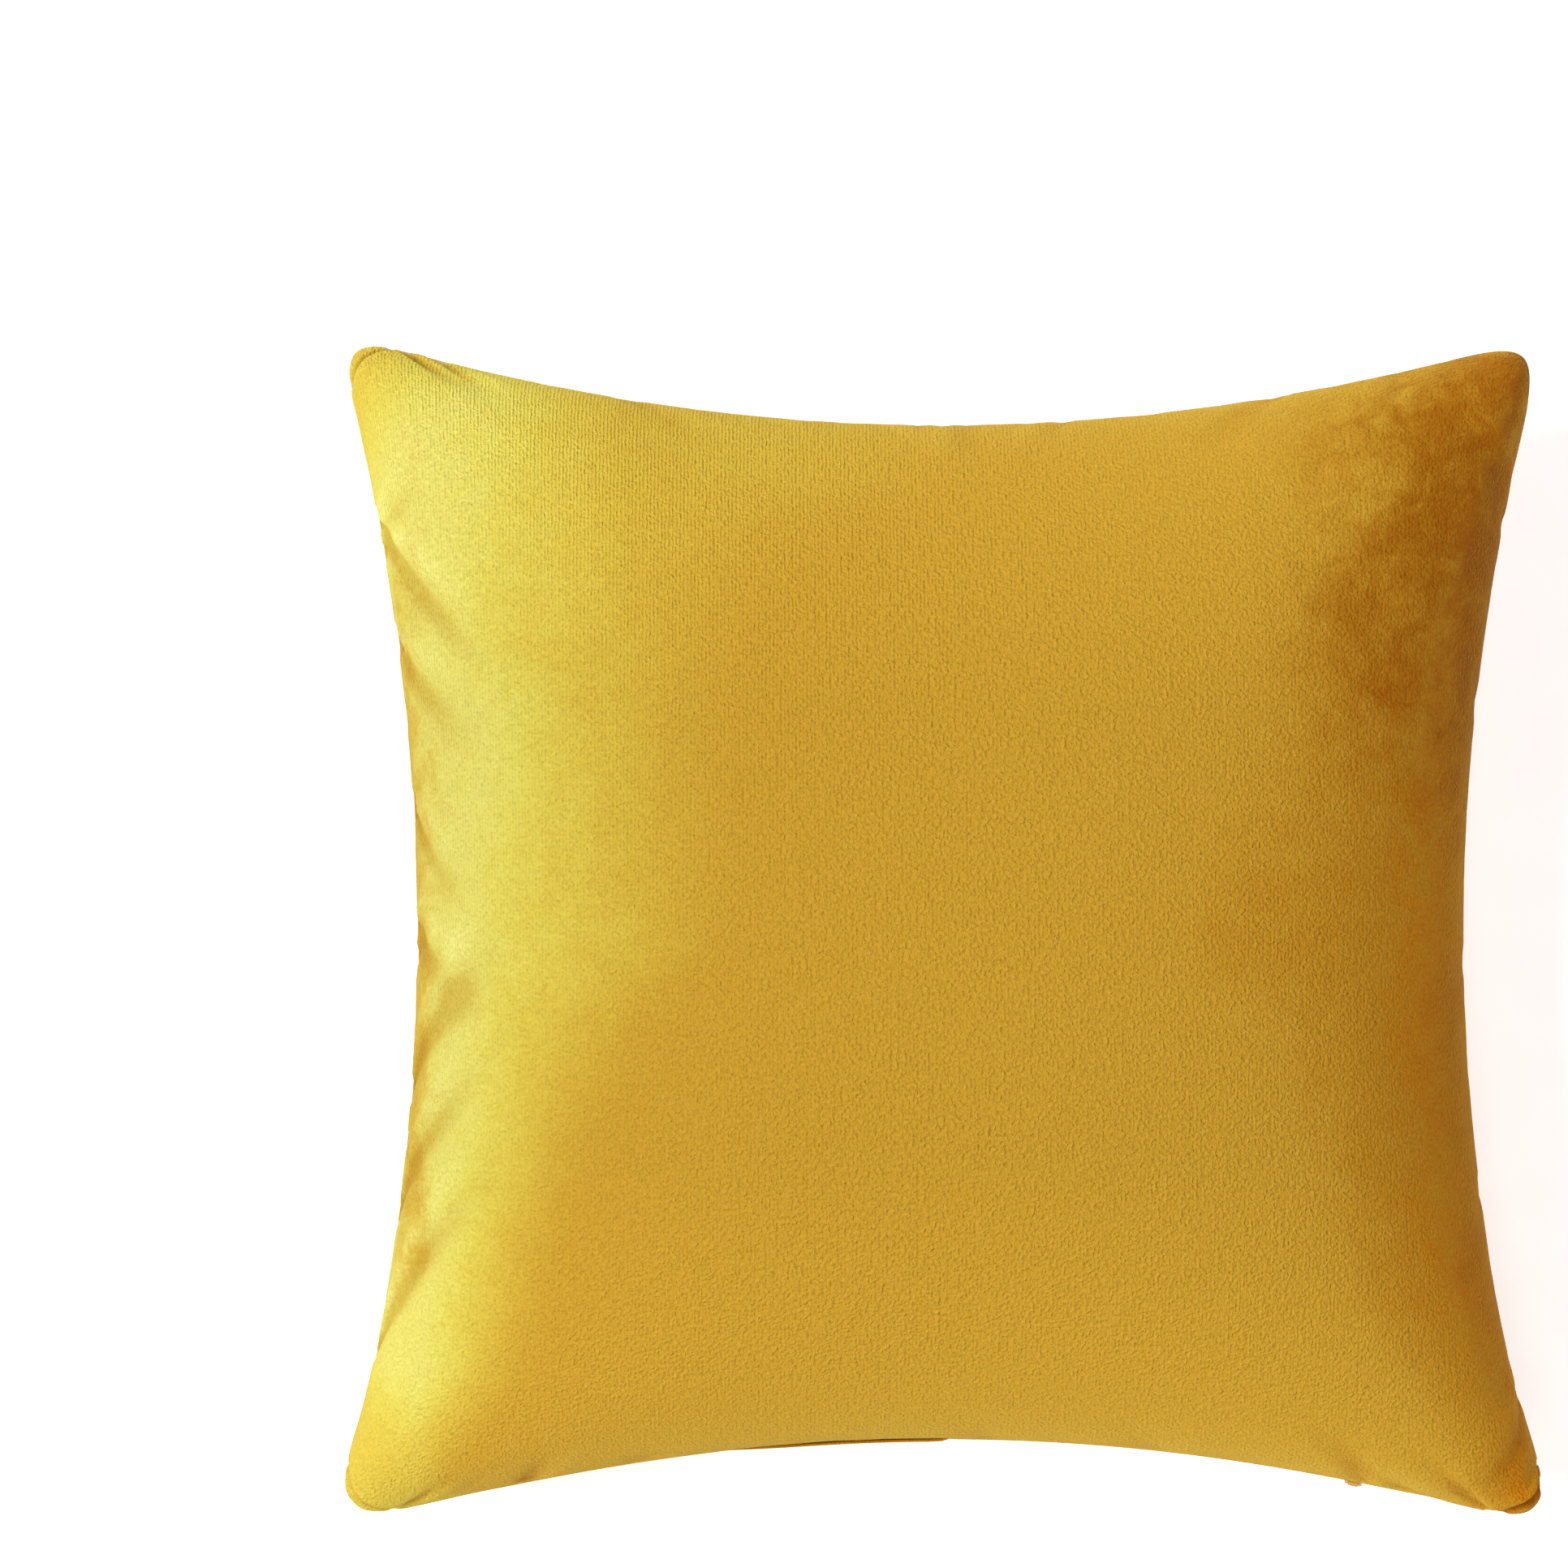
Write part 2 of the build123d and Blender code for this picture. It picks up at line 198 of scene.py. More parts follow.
def sewn(front, back):
    """Two grids joined along their edges. Returns the points, the quads, the point that each
    place of the grids has become, and which places are on the seam."""
    cells = front.shape[0] - 1
    count = (cells + 1) ** 2
    points = np.concatenate([front.reshape(-1, 3), back.reshape(-1, 3)])
    quads = np.concatenate([grid_faces(cells), grid_faces(cells, count, flip=True)])
    edge = np.zeros((cells + 1, cells + 1), bool)
    edge[[0, -1], :] = True
    edge[:, [0, -1]] = True
    on_seam = np.nonzero(edge.ravel())[0]
    remap = np.arange(2 * count)
    remap[count + on_seam] = on_seam
    used, joined = np.unique(remap, return_inverse=True)
    return points[used], joined[quads], joined, on_seam


# ---------------------------------------------------------------- cloth simulation

CLOTH_SPARE = 0.012            # how much larger the cloth is cut than the form
PRESSURE = 4.0
SIM_FRAMES = 22
LARGEST_SHIFT = 9 * MM


def inflate(front, back):
    """Simulates the sewn cover filling out. Returns how far each grid point moves."""
    points, quads, joined, on_seam = sewn(front, back)
    mesh = bpy.data.meshes.new("cloth_trial")
    mesh.from_pydata(points.tolist(), [], quads.tolist())
    trial = bpy.data.objects.new("cloth_trial", mesh)
    bpy.context.scene.collection.objects.link(trial)
    trial.shape_key_add(name="Basis")
    cut = trial.shape_key_add(name="cut")
    centre = np.array([0, 0, SEAM])
    larger = centre + (points - centre) * (1 + CLOTH_SPARE)
    cut.data.foreach_set("co", larger.ravel())
    pinned = trial.vertex_groups.new(name="seam")
    pinned.add([int(i) for i in joined[on_seam]], 1.0, "REPLACE")
    cloth = trial.modifiers.new("Cloth", "CLOTH")
    settings = cloth.settings
    settings.quality = 7
    settings.mass = 0.15
    settings.tension_stiffness = settings.compression_stiffness = 30
    settings.shear_stiffness = 12
    settings.bending_stiffness = 2.0
    settings.use_pressure = True
    settings.uniform_pressure_force = PRESSURE
    settings.effector_weights.gravity = 0
    settings.vertex_group_mass = "seam"
    settings.rest_shape_key = cut
    cloth.collision_settings.use_collision = False
    cloth.point_cache.frame_end = SIM_FRAMES + 1
    scene = bpy.context.scene
    scene.frame_start, scene.frame_end = 1, SIM_FRAMES + 1
    for number in range(1, SIM_FRAMES + 1):
        scene.frame_set(number)
    evaluated = trial.evaluated_get(bpy.context.evaluated_depsgraph_get()).data
    moved = np.empty(points.size)
    evaluated.vertices.foreach_get("co", moved)
    shift = moved.reshape(-1, 3)[joined] - points[joined]
    length = np.linalg.norm(shift, axis=1, keepdims=True)
    shift *= LARGEST_SHIFT * np.tanh(length / LARGEST_SHIFT) / np.maximum(length, 1e-9)
    bpy.data.objects.remove(trial)
    bpy.data.meshes.remove(mesh)
    scene.frame_set(1)
    front_shift, back_shift = np.split(shift, 2)
    return front_shift.reshape(front.shape), back_shift.reshape(back.shape)


# ---------------------------------------------------------------- puckers, folds and seam

def seam_coordinates(points):
    """For each side: distance from that seam over the cloth, and place along it."""
    step_u = np.linalg.norm(np.diff(points, axis=0), axis=-1)
    step_v = np.linalg.norm(np.diff(points, axis=1), axis=-1)
    zero_u = np.zeros((1, points.shape[1]))
    zero_v = np.zeros((points.shape[0], 1))
    from_left = np.concatenate([zero_u, np.cumsum(step_u, axis=0)])
    from_right = from_left[-1:, :] - from_left
    from_bottom = np.concatenate([zero_v, np.cumsum(step_v, axis=1)], axis=1)
    from_top = from_bottom[:, -1:] - from_bottom
    return {
        "left": (from_left, points[..., 1]),
        "right": (from_right, points[..., 1]),
        "bottom": (from_bottom, points[..., 0]),
        "top": (from_top, points[..., 0]),
    }


# Each pucker: side, place along the side, slant (mm sideways per mm inwards), width, length
# and depth, all in millimetres. One with a depth below 0 is a ridge.
FRONT_PUCKERS = (
    ("top", -204, 0.9, 2.4, 7, 3.4),
    ("top", -192, 0.8, 3.4, 9, 2.0),
    ("right", -204, -0.8, 2.2, 13, 3.4),
    ("bottom", 210, -0.8, 2.4, 12, 2.6),
    ("bottom", -207, 0.8, 2.2, 10, 2.0),
    ("left", 158, -0.9, 3.2, 22, 2.6),
    ("left", 140, 0.6, 3.0, 13, 1.8),
    ("left", 112, -0.7, 3.6, 19, 2.2),
    ("left", 52, -0.8, 3.0, 17, 2.2),
    ("left", 44, 0.5, 2.6, 11, 1.6),
    ("left", 6, -0.6, 3.4, 20, 2.4),
    ("left", -12, 0.7, 2.8, 12, 1.7),
    ("left", -62, 0.8, 3.4, 22, 2.6),
    ("left", -76, -0.5, 2.6, 11, 1.7),
    ("left", -108, 0.9, 3.2, 20, 2.4),
    ("left", -160, 1.0, 3.6, 22, 2.2),
    ("top", -18, 0.25, 2.6, 12, -1.3),
    ("top", -4, 0.1, 2.4, 15, -1.5),
    ("top", 7, -0.2, 2.2, 11, -1.2),
    ("top", 41, -0.4, 2.6, 13, -1.4),
    ("top", -60, 0.3, 3.0, 10, -0.9),
    ("top", -120, 0.7, 4.5, 15, 0.8),
    ("top", 128, -0.7, 5.0, 18, 0.9),
    ("bottom", -159, 0.3, 2.6, 11, 2.4),
    ("bottom", 160, -0.3, 2.6, 11, 2.2),
    ("bottom", -120, 0.4, 4.5, 14, 0.7),
    ("bottom", 20, -0.3, 4.5, 15, 0.7),
    ("bottom", 86, -0.5, 5.0, 16, 0.8),
    ("bottom", 182, -0.9, 4.0, 18, 1.2),
    ("right", 150, 0.8, 4.0, 20, 1.0),
    ("right", 84, 0.5, 4.6, 18, 0.8),
    ("right", -10, -0.4, 4.0, 15, 0.8),
    ("right", -96, -0.7, 4.4, 17, 0.8),
    ("right", -170, -1.0, 3.4, 18, 1.2),
)


# Creases round the tips of three corners: the two seams, then distance from the tip and
# depth in millimetres
CORNER_CREASES = (
    ("left", "top", 15, 1.5),
    ("left", "bottom", 17, 1.0),
    ("right", "bottom", 18, 2.2),
)


# The form of a pucker, in millimetres or as a part of its own width, length or depth
PUCKER_WIDENING = 26           # how far inwards it has doubled in width
PUCKER_START = 1.5             # how soon it begins next to the seam
PUCKER_REACH = 2.1
BANK_PLACE = 1.9               # the bank pushed up beside it
BANK_HEIGHT = 0.55
CREASE_WIDTH = 1.7
CREASE_BANK_PLACE = 3.6
CREASE_BANK_WIDTH = 2.2
CREASE_BANK_HEIGHT = 0.4

# Faint waves all along the seams
WAVE_LENGTHS = (9, 14, 23, 37)
WAVE_HEIGHT = 0.008
WAVE_REACH = 0.6

# Where folds begin: (distance from the seam at which they start, and over which they grow in)
FOLDS_BY_ZIP = (5, 6)
RIDGES = (4, 14)
HOLLOWS = (-1, 4)              # these are already there at the seam


def grow_in(away, limits):
    """Rises from 0 to 1 over the given stretch from the seam."""
    start, stretch = limits
    return ramp_up((away - start) / stretch)


def puckers(points, listed, seed):
    """Height of the puckers at each point: listed ones, and faint waves all along."""
    sides = {
        side: (away / MM, along / MM)
        for side, (away, along) in seam_coordinates(points).items()
    }
    height = np.zeros(points.shape[:2])
    for side, place, slant, width, length, depth in listed:
        away, along = sides[side]
        spread = width * (1 + away / PUCKER_WIDENING)
        across = (along - place - slant * away) / spread
        fade = np.exp(-(away / (PUCKER_REACH * length)) ** 2) * (1 - np.exp(-away / PUCKER_START))
        if side == "bottom":
            fade = fade * grow_in(away, FOLDS_BY_ZIP)
        fold = np.exp(-across ** 2) - BANK_HEIGHT * np.exp(-(across - BANK_PLACE) ** 2)
        height -= depth * fold * fade
    draw = np.random.default_rng(seed)
    for side in ("left", "right", "bottom", "top"):
        away, along = sides[side]
        for wave_length in WAVE_LENGTHS:
            phase, drift = draw.uniform(0, 2 * math.pi), draw.uniform(-0.6, 0.6)
            swell = 0.5 + 0.5 * np.sin(along / draw.uniform(40, 70) + phase * 3)
            wave = np.sin(2 * math.pi * (along - drift * away) / wave_length + phase)
            fade = np.exp(-away / (WAVE_REACH * wave_length))
            if side == "bottom":
                fade = fade * grow_in(away, FOLDS_BY_ZIP)
            height += WAVE_HEIGHT * wave_length * wave * swell * fade
    for first, second, radius, depth in CORNER_CREASES:
        beyond = np.hypot(sides[first][0], sides[second][0]) - radius
        crease = np.exp(-(beyond / CREASE_WIDTH) ** 2)
        bank = np.exp(-((beyond - CREASE_BANK_PLACE) / CREASE_BANK_WIDTH) ** 2)
        height -= depth * (crease - CREASE_BANK_HEIGHT * bank)
    nearest = np.minimum.reduce([away for away, _ in sides.values()])
    height *= np.where(height > 0, grow_in(nearest, RIDGES), grow_in(nearest, HOLLOWS))
    return height * MM


# The roll of cloth beside the seam, and the dip into the seam
ROLL_HEIGHT = 0.55 * MM
ROLL_PLACE = 3.4 * MM
ROLL_WIDTH = 1.7 * MM
DIP_DEPTH = 0.45 * MM
DIP_WIDTH = 0.9 * MM
ZIP_END_BLEND = 8 * MM         # the lips of the zip have no dip
LIP_WIDTH = 4 * MM


def seam_roll(points):
    """Height by which the cloth rolls over next to the seam and dips into it."""
    sides = seam_coordinates(points)
    away = np.minimum.reduce([distance for distance, _ in sides.values()])
    from_lips, along_zip = sides["bottom"]
    by_zip = 1 - ramp_up((np.abs(along_zip) - ZIP_HALF_HEM) / ZIP_END_BLEND)
    by_zip = by_zip * np.exp(-(from_lips / LIP_WIDTH) ** 2)
    roll = ROLL_HEIGHT * np.exp(-((away - ROLL_PLACE) / ROLL_WIDTH) ** 2)
    dip = DIP_DEPTH * np.exp(-(away / DIP_WIDTH) ** 2)
    return roll - dip * (1 - by_zip)


LANDING = 2.2 * MM             # how softly the back comes down on the resting plane


def settle(points):
    """Nothing goes under the resting plane: the back lies flat on it. High points stay, and
    the least of z and 1 only keeps their unused exponential finite."""
    z = points[..., 2]
    landed = LANDING * np.log1p(np.exp(np.minimum(z, 1) / LANDING))
    points[..., 2] = np.where(z > 6 * LANDING, z, landed)
    return points


# The zip's slot, and the stretch of it where the back's lip reaches out from under the front's
LIP_HALF_GAP = 0.9 * MM
LIP_GAP_DEPTH = 5 * MM
LIP_GAP_END = 1.2 * MM
LOW_LIP_FROM = -76 * MM
LOW_LIP_TO = 1.5 * MM
LOW_LIP_START = 7 * MM         # it comes out slowly, and ends at a kink
LOW_LIP_END = 0.8 * MM
LOW_LIP_DEPTH = 7 * MM
LIP_SHIFTS = {1: 0.8 * MM, -1: -1.9 * MM}   # the front's goes in, the back's comes out


def part_lips(points, side):
    """Opens the seam by the zip's slot along the bottom edge, and lets the lips overlap."""
    away, along = seam_coordinates(points)["bottom"]
    ends = 1 / (1 + np.exp((np.abs(along) - ZIP_HALF_OPENING) / LIP_GAP_END))
    points[..., 2] += side * LIP_HALF_GAP * ends * np.exp(-(away / LIP_GAP_DEPTH) ** 2)
    start = 1 / (1 + np.exp((LOW_LIP_FROM - along) / LOW_LIP_START))
    end = 1 / (1 + np.exp((along - LOW_LIP_TO) / LOW_LIP_END))
    overlap = start * end * np.exp(-(away / LOW_LIP_DEPTH) ** 2)
    points[..., 1] += LIP_SHIFTS[side] * overlap
    return points


# ---------------------------------------------------------------- mesh helpers

def link(name, mesh):
    piece = bpy.data.objects.new(name, mesh)
    bpy.context.scene.collection.objects.link(piece)
    return piece


def smooth(mesh):
    mesh.polygons.foreach_set("use_smooth", [True] * len(mesh.polygons))
    mesh.update()


def cloth_coordinates(points):
    """Place of each point on the flat cut cloth, in metres, from its centre."""
    sides = seam_coordinates(points)
    middle = points.shape[0] // 2
    across = sides["left"][0] - sides["left"][0][middle:middle + 1, :]
    along = sides["bottom"][0] - sides["bottom"][0][:, middle:middle + 1]
    return np.stack([across, along, np.zeros_like(across)], axis=-1)


def add_cloth_attribute(mesh, values):
    attribute = mesh.attributes.new("cloth", "FLOAT_VECTOR", "POINT")
    attribute.data.foreach_set("vector", np.ascontiguousarray(values, dtype=float).ravel())


def add_number_attribute(mesh, name, values):
    attribute = mesh.attributes.new(name, "FLOAT", "POINT")
    attribute.data.foreach_set("value", np.ascontiguousarray(values, dtype=float).ravel())


STRIP_STEP = 3 * MM            # length of a strip's faces
HEM_OUTLINE = (                # (depth behind the lip, height from the seam), in millimetres
    (0.5, 1.0), (0.75, 0.92), (1.8, 0.9), (2.0, 1.1), (2.0, 5.0),
    (8.5, 9.5), (8.2, 10.0), (7.5, 9.6), (1.2, 5.2), (0.9, 2.0),
)


def arc_strip(half_length, profile):
    """Closed strip along the zip's arc from a cross-section of (depth, height) points."""
    rows = max(int(2 * half_length / STRIP_STEP), 2)
    angles = np.linspace(-half_length, half_length, rows + 1) / ZIP_RADIUS
    profile = np.array(profile)
    reach = ZIP_RADIUS + profile[:, 0]
    x = np.outer(np.sin(angles), reach)
    y = zip_centre[1] + np.outer(np.cos(angles), reach)
    z = SEAM + np.outer(np.ones_like(angles), profile[:, 1])
    points = np.stack([x, y, z], axis=-1)
    size = len(profile)
    faces = []
    for row in range(rows):
        here, ahead = row * size, (row + 1) * size
        for k in range(size):
            after = (k + 1) % size
            faces.append((here + k, ahead + k, ahead + after, here + after))
    faces.append(tuple(range(size)))
    faces.append(tuple(rows * size + k for k in reversed(range(size))))
    return points.reshape(-1, 3), faces


def hem_profile(side):
    """Cross-section of the hem turned in behind a lip, as in the frame."""
    points = [(depth * MM, side * height * MM) for depth, height in HEM_OUTLINE]
    return points if side > 0 else points[::-1]


INSIDE_GAP = 0.05 * MM         # least distance of a panel's inside from the plane of the seam


def shell(name, outside, side, thickness, hem=False, folds=None):
    """A cloth panel as a closed thin shell, with its turned hem if it has the zip. folds is the
    height of its puckers, which the velvet uses to paint shade down in them and a highlight on
    their ridges."""
    cells = outside.shape[0] - 1
    count = (cells + 1) ** 2
    inside = outside - grid_normals(outside, side) * thickness
    least = SEAM + side * INSIDE_GAP
    if side > 0:
        inside[..., 2] = np.maximum(inside[..., 2], least)
    else:
        inside[..., 2] = np.minimum(inside[..., 2], least)
        inside[..., 2] = np.maximum(inside[..., 2], outside[..., 2].min() + thickness)
    index = np.arange(count).reshape(cells + 1, cells + 1)
    rim = np.concatenate([index[:, 0], index[-1, 1:], index[-2::-1, -1], index[0, -2:0:-1]])
    after = np.roll(rim, -1)
    bridge = np.stack([rim, rim + count, after + count, after], axis=1)
    if side < 0:
        bridge = bridge[:, ::-1]
    quads = np.concatenate([
        grid_faces(cells, flip=side < 0),
        grid_faces(cells, count, flip=side > 0),
        bridge,
    ])
    points = np.concatenate([outside.reshape(-1, 3), inside.reshape(-1, 3)])
    cloth = np.tile(cloth_coordinates(outside).reshape(-1, 3), (2, 1))
    nearest = np.minimum.reduce([away for away, _ in seam_coordinates(outside).values()])
    seam_distance = np.tile(nearest.ravel(), 2)
    faces = quads.tolist()
    if hem:
        strip, strip_faces = arc_strip(ZIP_HALF_HEM, hem_profile(side))
        start = len(points)
        faces += [tuple(start + k for k in face) for face in strip_faces]
        points = np.concatenate([points, strip])
        cloth = np.concatenate([cloth, strip * [1, 0, 1]])
        seam_distance = np.concatenate([seam_distance, np.zeros(len(strip))])
    mesh = bpy.data.meshes.new(name)
    mesh.from_pydata(points.tolist(), [], faces)
    add_cloth_attribute(mesh, cloth)
    add_number_attribute(mesh, "seam_distance", seam_distance)
    if folds is not None:
        fold_height = np.concatenate([folds.ravel(), np.zeros(len(points) - count)])
        add_number_attribute(mesh, "fold_height", fold_height)
    smooth(mesh)
    return link(name, mesh)


# ---------------------------------------------------------------- the cover

BACK_SPARE = 9 * MM            # how much deeper the back is before it settles on the plane
KEPT_AT_CORNERS = 0.12         # how much of the simulated shift the corners keep
CORNER_REACH = 0.55            # how far from a corner all of it is kept, 1 being half a side
STILL_EDGE = 6 * MM            # sideways shifts begin this far from the seams
EDGE_BLEND = 45 * MM           # and are full this much further in
SEEDS = {1: 11, -1: 23}        # of the faint waves of each panel


def mirrored(listed):
    """The same puckers at the opposite places along each side."""
    return tuple((edge, -place, *rest) for edge, place, *rest in listed)


def cover_shapes():
    """Outside surfaces of the front and back panels, and the height of their puckers."""
    surfaces, folds = {}, {}
    depths = {1: FRONT_DEPTH, -1: BACK_DEPTH + BACK_SPARE}
    listed = {1: FRONT_PUCKERS, -1: mirrored(FRONT_PUCKERS)}
    shifts = {1: 0, -1: 0}
    front = stuffed(SIM_GRID, 1, depths[1])
    back = stuffed(SIM_GRID, -1, depths[-1])
    front_shift, back_shift = inflate(front, back)
    shifts = {1: resample(front_shift, GRID), -1: resample(back_shift, GRID)}
    u, v = grid_parameters(GRID)
    from_corner = (2 - np.abs(u) - np.abs(v)) / CORNER_REACH
    keep = (KEPT_AT_CORNERS + (1 - KEPT_AT_CORNERS) * ramp_up(from_corner))[..., None]
    for side in (1, -1):
        points = stuffed(GRID, side, depths[side])
        nearest = np.minimum.reduce([away for away, _ in seam_coordinates(points).values()])
        sideways = ramp_up((nearest - STILL_EDGE) / EDGE_BLEND)[..., None]
        share = np.concatenate([sideways, sideways, np.ones_like(sideways)], axis=-1)
        points = points + shifts[side] * keep * share
        folds[side] = puckers(points, listed[side], SEEDS[side])
        height = folds[side] + seam_roll(points)
        height[[0, -1], :] = 0
        height[:, [0, -1]] = 0
        points = points + grid_normals(points, side) * height[..., None]
        if side > 0:
            crown = points[..., 2].max() - SEAM
            points[..., 2] = SEAM + (points[..., 2] - SEAM) * FRONT_DEPTH / crown
        else:
            points = settle(points)
        surfaces[side] = part_lips(points, side)
    return surfaces, folds


surfaces, folds = cover_shapes()
front_panel = shell("velvet_front", surfaces[1], 1, COVER_CLOTH, hem=True, folds=folds[1])
back_panel = shell("velvet_back", surfaces[-1], -1, COVER_CLOTH, hem=True, folds=folds[-1])
for piece, node in ((front_panel, "cover_front_panel"), (back_panel, "cover_back_panel")):
    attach(piece, "pillow")
    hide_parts(node)


# ---------------------------------------------------------------- the insert

# How much smaller than the cover the casing and the filling are, across and upwards
CASING_SIZE = (0.925, 0.965)
FILLING_SIZE = (0.895, 0.945)
FILLING_GAP = 1.2 * MM         # the filling's mean depth under its own even form
LUMP_HEIGHT = 0.5 * MM
LUMPS_FROM = 20 * MM           # they are full this far up or down from the seam


def drawn_in(side, size):
    """The cover's surface drawn in towards the middle of the pillow, closed at the seam."""
    across, upwards = size
    middle = np.array([0, 0, SEAM])
    smaller = middle + (surfaces[side] - middle) * [across, across, upwards]
    points = resample(smaller, INSERT_GRID)
    points[[0, -1], :, 2] = SEAM
    points[:, [0, -1], 2] = SEAM
    return points


def insert_half(name, side):
    """Half of the insert's casing, following the cover from inside."""
    return shell(name, drawn_in(side, CASING_SIZE), side, CASING_CLOTH)


def filling_half(side):
    """Half of the filling, a little uneven under the casing."""
    points = drawn_in(side, FILLING_SIZE)
    x, y = points[..., 0] / MM, points[..., 1] / MM
    lumps = np.sin(x / 17 + side) * np.sin(y / 13) + np.sin(x / 31 - y / 23)
    inwards = np.clip(np.abs(points[..., 2] - SEAM) / LUMPS_FROM, 0, 1)
    sunk = (FILLING_GAP + LUMP_HEIGHT * lumps) * inwards
    return points - grid_normals(points, side) * sunk[..., None]


def fibre_filling():
    """The filling as one closed lump."""
    points, quads, _, _ = sewn(filling_half(1), filling_half(-1))
    mesh = bpy.data.meshes.new("fibre_filling")
    mesh.from_pydata(points.tolist(), [], quads.tolist())
    add_cloth_attribute(mesh, points)
    smooth(mesh)
    return link("fibre_filling", mesh)


casing_front = insert_half("casing_front", 1)
casing_back = insert_half("casing_back", -1)
filling = fibre_filling()
for piece, node, slot in (
    (casing_front, "insert_casing_front", "casing"),
    (casing_back, "insert_casing_back", "casing"),
    (filling, "insert_filling", "filling"),
):
    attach(piece, "pillow")
    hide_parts(node)


# ---------------------------------------------------------------- the zip's coils

COIL_PITCH = 1.3 * MM
COIL_WIRE = 0.3 * MM           # half the thickness of the wire
COIL_DEPTH = 4.45 * MM         # middle of a coil, inwards from the lips
COIL_HALF_DEPTH = 0.44 * MM
COIL_MIDDLE = 1.72 * MM        # middle of a coil, up or down from the seam
COIL_HALF_HEIGHT = 0.72 * MM
COIL_STEPS = 14                # points along the wire in a turn
COIL_ROUND = 6                 # points round the wire


def coil(name, side):
    """One coil of the zip: a wire wound along the zip's arc. The two stand half a turn apart,
    and clear of each other, so that the slider's post passes between them."""
    _, coil_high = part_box("zip_coil_front")
    half_angle = math.asin(coil_high[0] / (ZIP_RADIUS + COIL_DEPTH))
    half_length = ZIP_RADIUS * half_angle - COIL_WIRE
    turns = int(2 * half_length / COIL_PITCH)
    along = np.linspace(-half_length, half_length, turns * COIL_STEPS + 1)
    turn = 2 * math.pi * (along / COIL_PITCH + (0 if side > 0 else 0.5))
    depth = ZIP_RADIUS + COIL_DEPTH + COIL_HALF_DEPTH * np.cos(turn)
    height = side * (COIL_MIDDLE + COIL_HALF_HEIGHT * np.sin(turn))
    angle = along / ZIP_RADIUS
    wire = np.stack([
        depth * np.sin(angle), zip_centre[1] + depth * np.cos(angle), SEAM + height
    ], axis=-1)
    forward = np.gradient(wire, axis=0)
    forward /= np.linalg.norm(forward, axis=1, keepdims=True)
    out = np.stack([np.sin(angle), np.cos(angle), np.zeros_like(angle)], axis=-1)
    out = out * np.cos(turn)[:, None]
    out[:, 2] = side * np.sin(turn)
    out -= forward * np.sum(out * forward, axis=1, keepdims=True)
    out /= np.linalg.norm(out, axis=1, keepdims=True)
    beside = np.cross(forward, out)
    round_wire = np.arange(COIL_ROUND) * 2 * math.pi / COIL_ROUND
    points = (
        wire[:, None]
        + COIL_WIRE * np.cos(round_wire)[None, :, None] * out[:, None]
        + COIL_WIRE * np.sin(round_wire)[None, :, None] * beside[:, None]
    )
    rings = len(along)
    index = np.arange(rings * COIL_ROUND).reshape(rings, COIL_ROUND)
    after = np.roll(index, -1, axis=1)
    quads = np.stack([
        index[:-1].ravel(), after[:-1].ravel(), after[1:].ravel(), index[1:].ravel()
    ], axis=1)
    faces = quads.tolist() + [index[0, ::-1].tolist(), index[-1].tolist()]
    mesh = bpy.data.meshes.new(name)
    mesh.from_pydata(points.reshape(-1, 3).tolist(), [], faces)
    smooth(mesh)
    return link(name, mesh)


coil_front = coil("coil_front", 1)
coil_back = coil("coil_back", -1)
for piece, node in ((coil_front, "zip_coil_front"), (coil_back, "zip_coil_back")):
    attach(piece, "pillow")
    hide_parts(node)


# ---------------------------------------------------------------- materials

